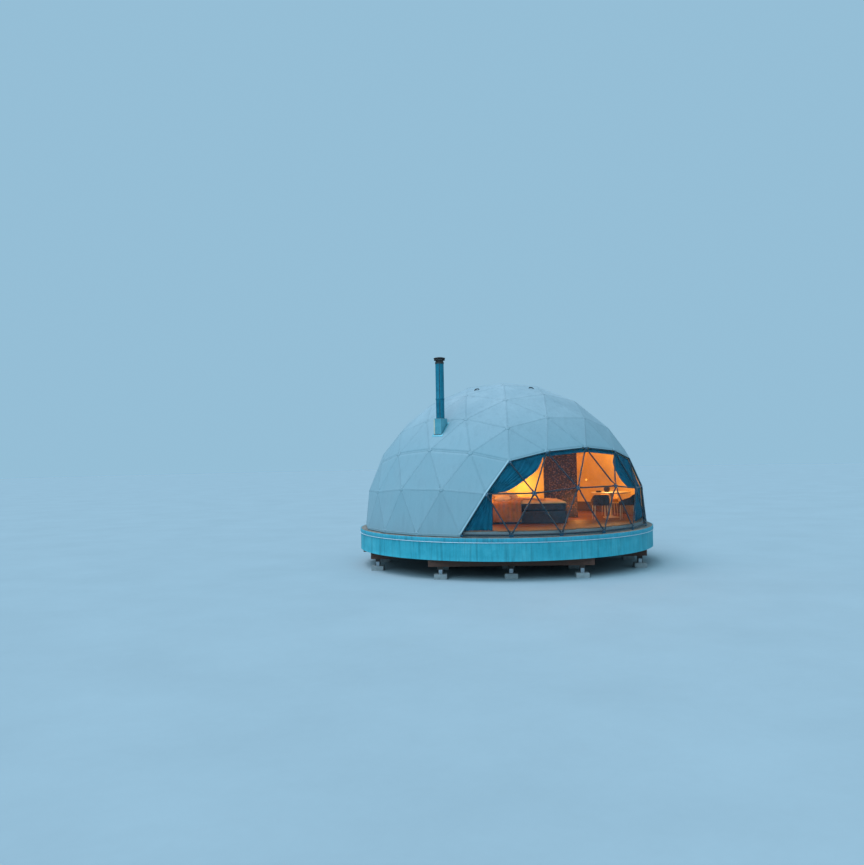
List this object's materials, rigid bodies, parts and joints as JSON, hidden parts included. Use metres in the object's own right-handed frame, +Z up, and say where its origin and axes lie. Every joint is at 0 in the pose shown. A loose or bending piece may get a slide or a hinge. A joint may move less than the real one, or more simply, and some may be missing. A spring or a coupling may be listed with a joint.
{
  "type": "geodesic dome tent on a round platform",
  "caption": "Hemispherical geodesic dome of steel struts and hubs with a folded cover, a clear bay, a liner, a flue and an entrance porch, on a round timber platform.",
  "frame": {"origin": "on the dome's axis at the ground that the footing pads stand on", "axes": "+Z up; the clear bay faces -Y and the entrance porch faces +Y"},
  "size_m": [8.3486, 8.3486, 5.6632],
  "materials": {
    "frame_steel": "galvanised steel tube",
    "hub_steel": "dark painted steel plate",
    "bracket_steel": "galvanised steel plate",
    "cover_fabric": "coated tent membrane, satin, welded seams",
    "clear_sheet": "clear soft sheet",
    "liner_fabric": "quilted cream lining",
    "curtain_fabric": "deep teal woven cloth",
    "porch_panel": "pale painted panel",
    "door_paint": "dark grey paint",
    "floor_wood": "reddish brown boards",
    "insulation": "rigid foam slab",
    "deck_wood": "weathered boards",
    "timber": "reddish brown stained timber",
    "kerb_paint": "dark edge flashing",
    "trim_metal": "light drip edge",
    "skirt_sheet": "pale blue-grey ribbed sheet",
    "concrete": "cast concrete",
    "flue_steel": "stainless flue pipe",
    "cowl_steel": "weathered dark cowl",
    "boot_steel": "folded sheet boot",
    "partition_board": "dark patterned board",
    "bed_fabric": "dark grey upholstery",
    "bedding": "cream bedding",
    "table_wood": "oiled wood",
    "chair_fabric": "dark grey felted cloth",
    "amber_fabric": "amber velvet"
  },
  "bodies": {
    "root": {"base_ring_struts": "frame_steel", "wall_struts": "frame_steel", "shoulder_struts": "frame_steel", "roof_struts": "frame_steel", "crown_struts": "frame_steel", "bay_struts": "frame_steel", "bay_hubs": "hub_steel", "base_hubs": "hub_steel", "frame_hubs": "hub_steel", "anchor_brackets": "bracket_steel", "cover_roof": "cover_fabric", "cover_wall_right": "cover_fabric", "cover_wall_left": "cover_fabric", "cover_wall_back": "cover_fabric", "clear_bay": "clear_sheet", "liner_roof": "liner_fabric", "liner_walls": "liner_fabric", "left_curtain": "curtain_fabric", "right_curtain": "curtain_fabric", "bay_valance": "curtain_fabric", "porch_walls": "porch_panel", "porch_roof": "porch_panel", "door_frame": "door_paint", "door_leaf": "door_paint", "door_sill": "bracket_steel", "floor_boards": "floor_wood", "insulated_floor": "insulation", "deck": "deck_wood", "deck_kerb": "kerb_paint", "edge_trim": "trim_metal", "skirt": "skirt_sheet", "joists": "timber", "bearers": "timber", "tie_beams": "timber", "posts": "timber", "footing_pads": "concrete", "flue_boot": "boot_steel", "flue_pipe": "flue_steel", "flue_cap": "cowl_steel", "partition": "partition_board", "bed_base": "bed_fabric", "mattress": "bedding", "table": "table_wood", "dining_chairs": "chair_fabric", "amber_chair": "amber_fabric"}
  },
  "joints": []
}
